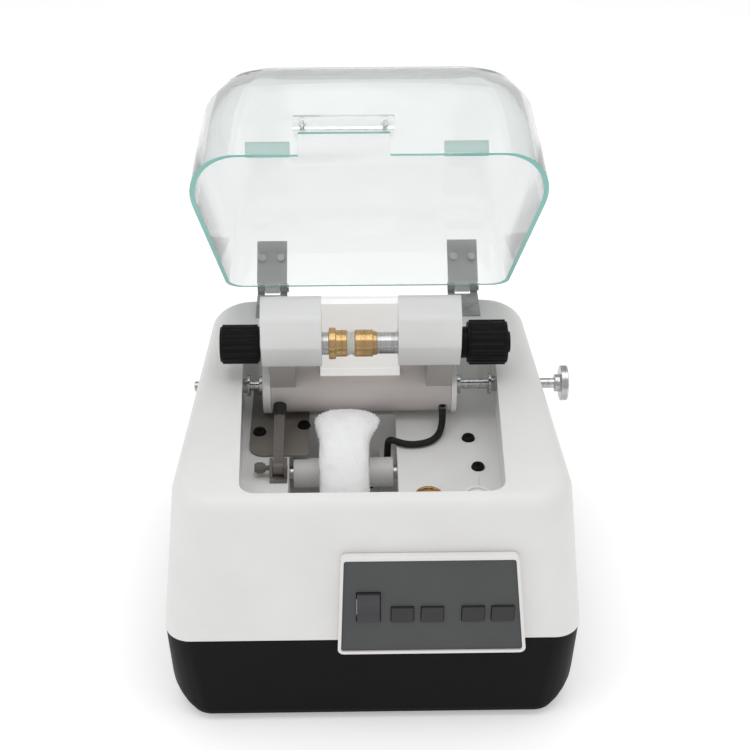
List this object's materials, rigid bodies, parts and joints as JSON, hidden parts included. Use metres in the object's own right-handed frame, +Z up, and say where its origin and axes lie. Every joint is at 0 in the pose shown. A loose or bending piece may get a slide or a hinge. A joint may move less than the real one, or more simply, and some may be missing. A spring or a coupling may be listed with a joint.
{
  "type": "lens edge polisher",
  "caption": "Desktop lens edge polisher: white shell on a black base, clear hinged lid, swinging carriage with brass lens chucks over a cotton wheel, control panel.",
  "frame": {"origin": "middle of the body's footprint, on the plane the rubber feet rest on", "axes": "+X to the operator's right, +Y to the back, +Z up; the control panel faces -Y"},
  "size_m": [0.311, 0.3169, 0.4557],
  "materials": {
    "white_shell": "satin",
    "black_base": "fine grain",
    "black_plastic": "satin",
    "clear_lid": "polished",
    "panel_grey": "printed film",
    "panel_keys": "printed film",
    "rocker": "satin",
    "board": "solder mask",
    "steel": "turned",
    "dark_steel": "blackened",
    "brass": "turned",
    "rubber": "matt",
    "cotton": "loose fibre",
    "housing": "satin"
  },
  "bodies": {
    "chassis": {"base_tray": "black_base", "feet": "rubber", "base_screws": "steel", "upper_shell": "white_shell", "chamber_tub": "white_shell", "floor_screws": "black_plastic", "control_bezel": "white_shell", "control_panel": "panel_grey", "control_board": "board", "rear_grille": "black_plastic", "power_inlet": "black_plastic", "fuse_holder": "black_plastic", "power_supply": "board", "hinge_brackets": "steel", "hinge_pins": "steel", "rod_bushes": "steel", "shaft_bearings": "steel", "drive_belt": "rubber", "main_motor": "dark_steel", "motor_bracket": "steel", "lift_plate": "dark_steel", "arm_bracket": "dark_steel", "carriage_cable": "rubber", "spare_cups": "brass"},
    "lid": {"lid_shell": "clear_lid", "lid_handle": "clear_lid", "lid_pads": "clear_lid", "lid_straps": "steel"},
    "rod": {"pivot_rod": "steel", "rod_disc": "steel", "rod_collars": "steel"},
    "carriage": {"carriage_body": "white_shell", "carriage_housing": "housing", "left_end_plate": "white_shell", "right_end_plate": "white_shell", "lens_gearmotor": "steel", "left_belt": "rubber", "right_belt": "rubber", "spindle_bearings": "steel"},
    "lens_drive": {"layshaft": "steel"},
    "left_chuck": {"left_spindle": "steel", "left_knob": "black_plastic", "left_cup": "brass", "left_pad": "rubber"},
    "right_chuck": {"right_sleeve": "steel"},
    "clamp": {"clamp_shaft": "steel", "right_cup": "brass", "right_pad": "rubber", "clamp_knob": "black_plastic"},
    "wheel": {"polishing_wheel": "cotton", "wheel_hubs": "steel", "wheel_shaft": "steel", "wheel_pulley": "steel"},
    "motor_rotor": {"motor_pulley": "steel"},
    "rocker": {"power_rocker": "rocker"},
    "speed_key": {"key_speed": "panel_keys"},
    "left_key": {"key_left": "panel_keys"},
    "right_key": {"key_right": "panel_keys"},
    "start_key": {"key_start": "panel_keys"},
    "rest_arm": {"lift_arm": "dark_steel"}
  },
  "joints": [
    {"name": "lid_hinge", "type": "hinge", "parent": "chassis", "child": "lid", "pos_m": [0, 0.141, 0.213], "axis": [1, 0, 0], "range_deg": [-20, 52]},
    {"name": "rod_traverse", "type": "slide", "parent": "chassis", "child": "rod", "axis": [1, 0, 0], "range_m": [-0.003, 0.003]},
    {"name": "carriage_swing", "type": "hinge", "parent": "rod", "child": "carriage", "pos_m": [0, 0.04, 0.1856], "axis": [1, 0, 0], "range_deg": [-4, 21], "deforming": ["carriage_cable"]},
    {"name": "left_spin", "type": "hinge", "parent": "carriage", "child": "left_chuck", "pos_m": [0, 0.02, 0.23908], "axis": [1, 0, 0], "continuous": true},
    {"name": "right_spin", "type": "hinge", "parent": "carriage", "child": "right_chuck", "pos_m": [0, 0.02, 0.23908], "axis": [1, 0, 0], "continuous": true},
    {"name": "lens_drive_spin", "type": "hinge", "parent": "carriage", "child": "lens_drive", "pos_m": [0, 0.03594, 0.19647], "axis": [1, 0, 0], "continuous": true},
    {"name": "clamp_slide", "type": "slide", "parent": "right_chuck", "child": "clamp", "axis": [1, 0, 0], "range_m": [0, 0.006]},
    {"name": "wheel_spin", "type": "hinge", "parent": "chassis", "child": "wheel", "pos_m": [0, -0.021, 0.146], "axis": [1, 0, 0], "continuous": true},
    {"name": "motor_spin", "type": "hinge", "parent": "chassis", "child": "motor_rotor", "pos_m": [0, 0.04, 0.06], "axis": [1, 0, 0], "continuous": true},
    {"name": "rocker_tilt", "type": "hinge", "parent": "chassis", "child": "rocker", "pos_m": [-0.0035, -0.13928, 0.12141], "axis": [1, 0, 0], "range_deg": [-5, 5]},
    {"name": "rest_arm_tilt", "type": "hinge", "parent": "chassis", "child": "rest_arm", "pos_m": [-0.07, -0.042, 0.168], "axis": [1, 0, 0], "range_deg": [0, 5]},
    {"name": "speed_press", "type": "slide", "parent": "chassis", "child": "speed_key", "axis": [0, 0.9976, -0.0698], "range_m": [0, 0.0009], "stiffness_N_per_m": 300},
    {"name": "left_press", "type": "slide", "parent": "chassis", "child": "left_key", "axis": [0, 0.9976, -0.0698], "range_m": [0, 0.0009], "stiffness_N_per_m": 300},
    {"name": "right_press", "type": "slide", "parent": "chassis", "child": "right_key", "axis": [0, 0.9976, -0.0698], "range_m": [0, 0.0009], "stiffness_N_per_m": 300},
    {"name": "start_press", "type": "slide", "parent": "chassis", "child": "start_key", "axis": [0, 0.9976, -0.0698], "range_m": [0, 0.0009], "stiffness_N_per_m": 300}
  ],
  "couplings": [
    {"joint": "right_spin", "follows": "left_spin", "ratio": 1},
    {"joint": "lens_drive_spin", "follows": "left_spin", "ratio": 1.88},
    {"joint": "motor_spin", "follows": "wheel_spin", "ratio": 0.70833}
  ]
}
